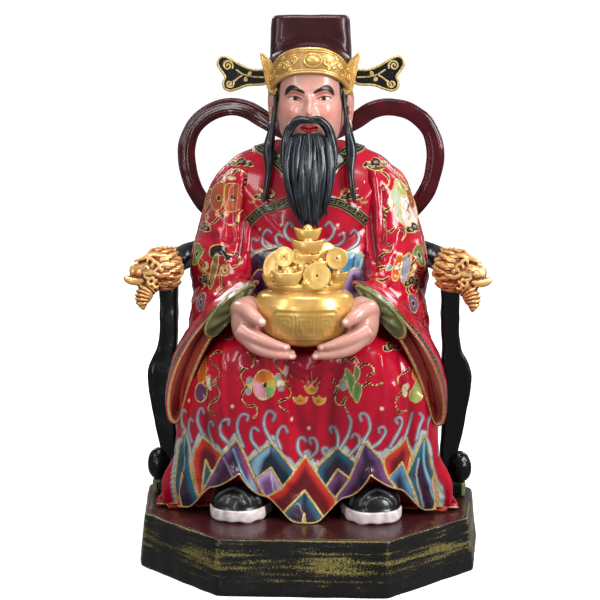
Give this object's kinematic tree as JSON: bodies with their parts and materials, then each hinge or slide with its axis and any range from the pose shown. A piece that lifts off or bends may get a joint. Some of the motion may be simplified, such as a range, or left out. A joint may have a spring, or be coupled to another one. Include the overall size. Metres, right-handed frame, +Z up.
{
  "type": "seated wealth god figure",
  "caption": "Seated robed figure with a winged hat and beard, holding a treasure bowl, in a dragon-armed chair on an eight-sided plinth, painted resin.",
  "frame": {"origin": "centre of the plinth's underside, which is also the bottom centre of the whole object's box", "axes": "+Z up; the figure looks along -Y, and its own left hand is on +X"},
  "size_m": [0.536, 0.398, 0.8003],
  "materials": {
    "plinth_paint": "painted resin: dark maroon top and black sides, dry-brushed with yellow gold",
    "chair_lacquer": "glossy black paint with faint worn edges",
    "figure_paint": "glossy crimson robe with painted motifs and raised gilt outlines",
    "gold_paint": "warm gold paint with a satin shine",
    "wing_paint": "black paint with gold outlines",
    "ribbon_paint": "glossy dark maroon paint"
  },
  "bodies": {
    "root": {"plinth": "plinth_paint", "chair": "chair_lacquer", "figure": "figure_paint", "treasure_bowl": "gold_paint", "dragon_head_left": "gold_paint", "dragon_head_right": "gold_paint", "hat_wing_left": "wing_paint", "hat_wing_right": "wing_paint", "ribbon_left": "ribbon_paint", "ribbon_right": "ribbon_paint"}
  },
  "joints": []
}
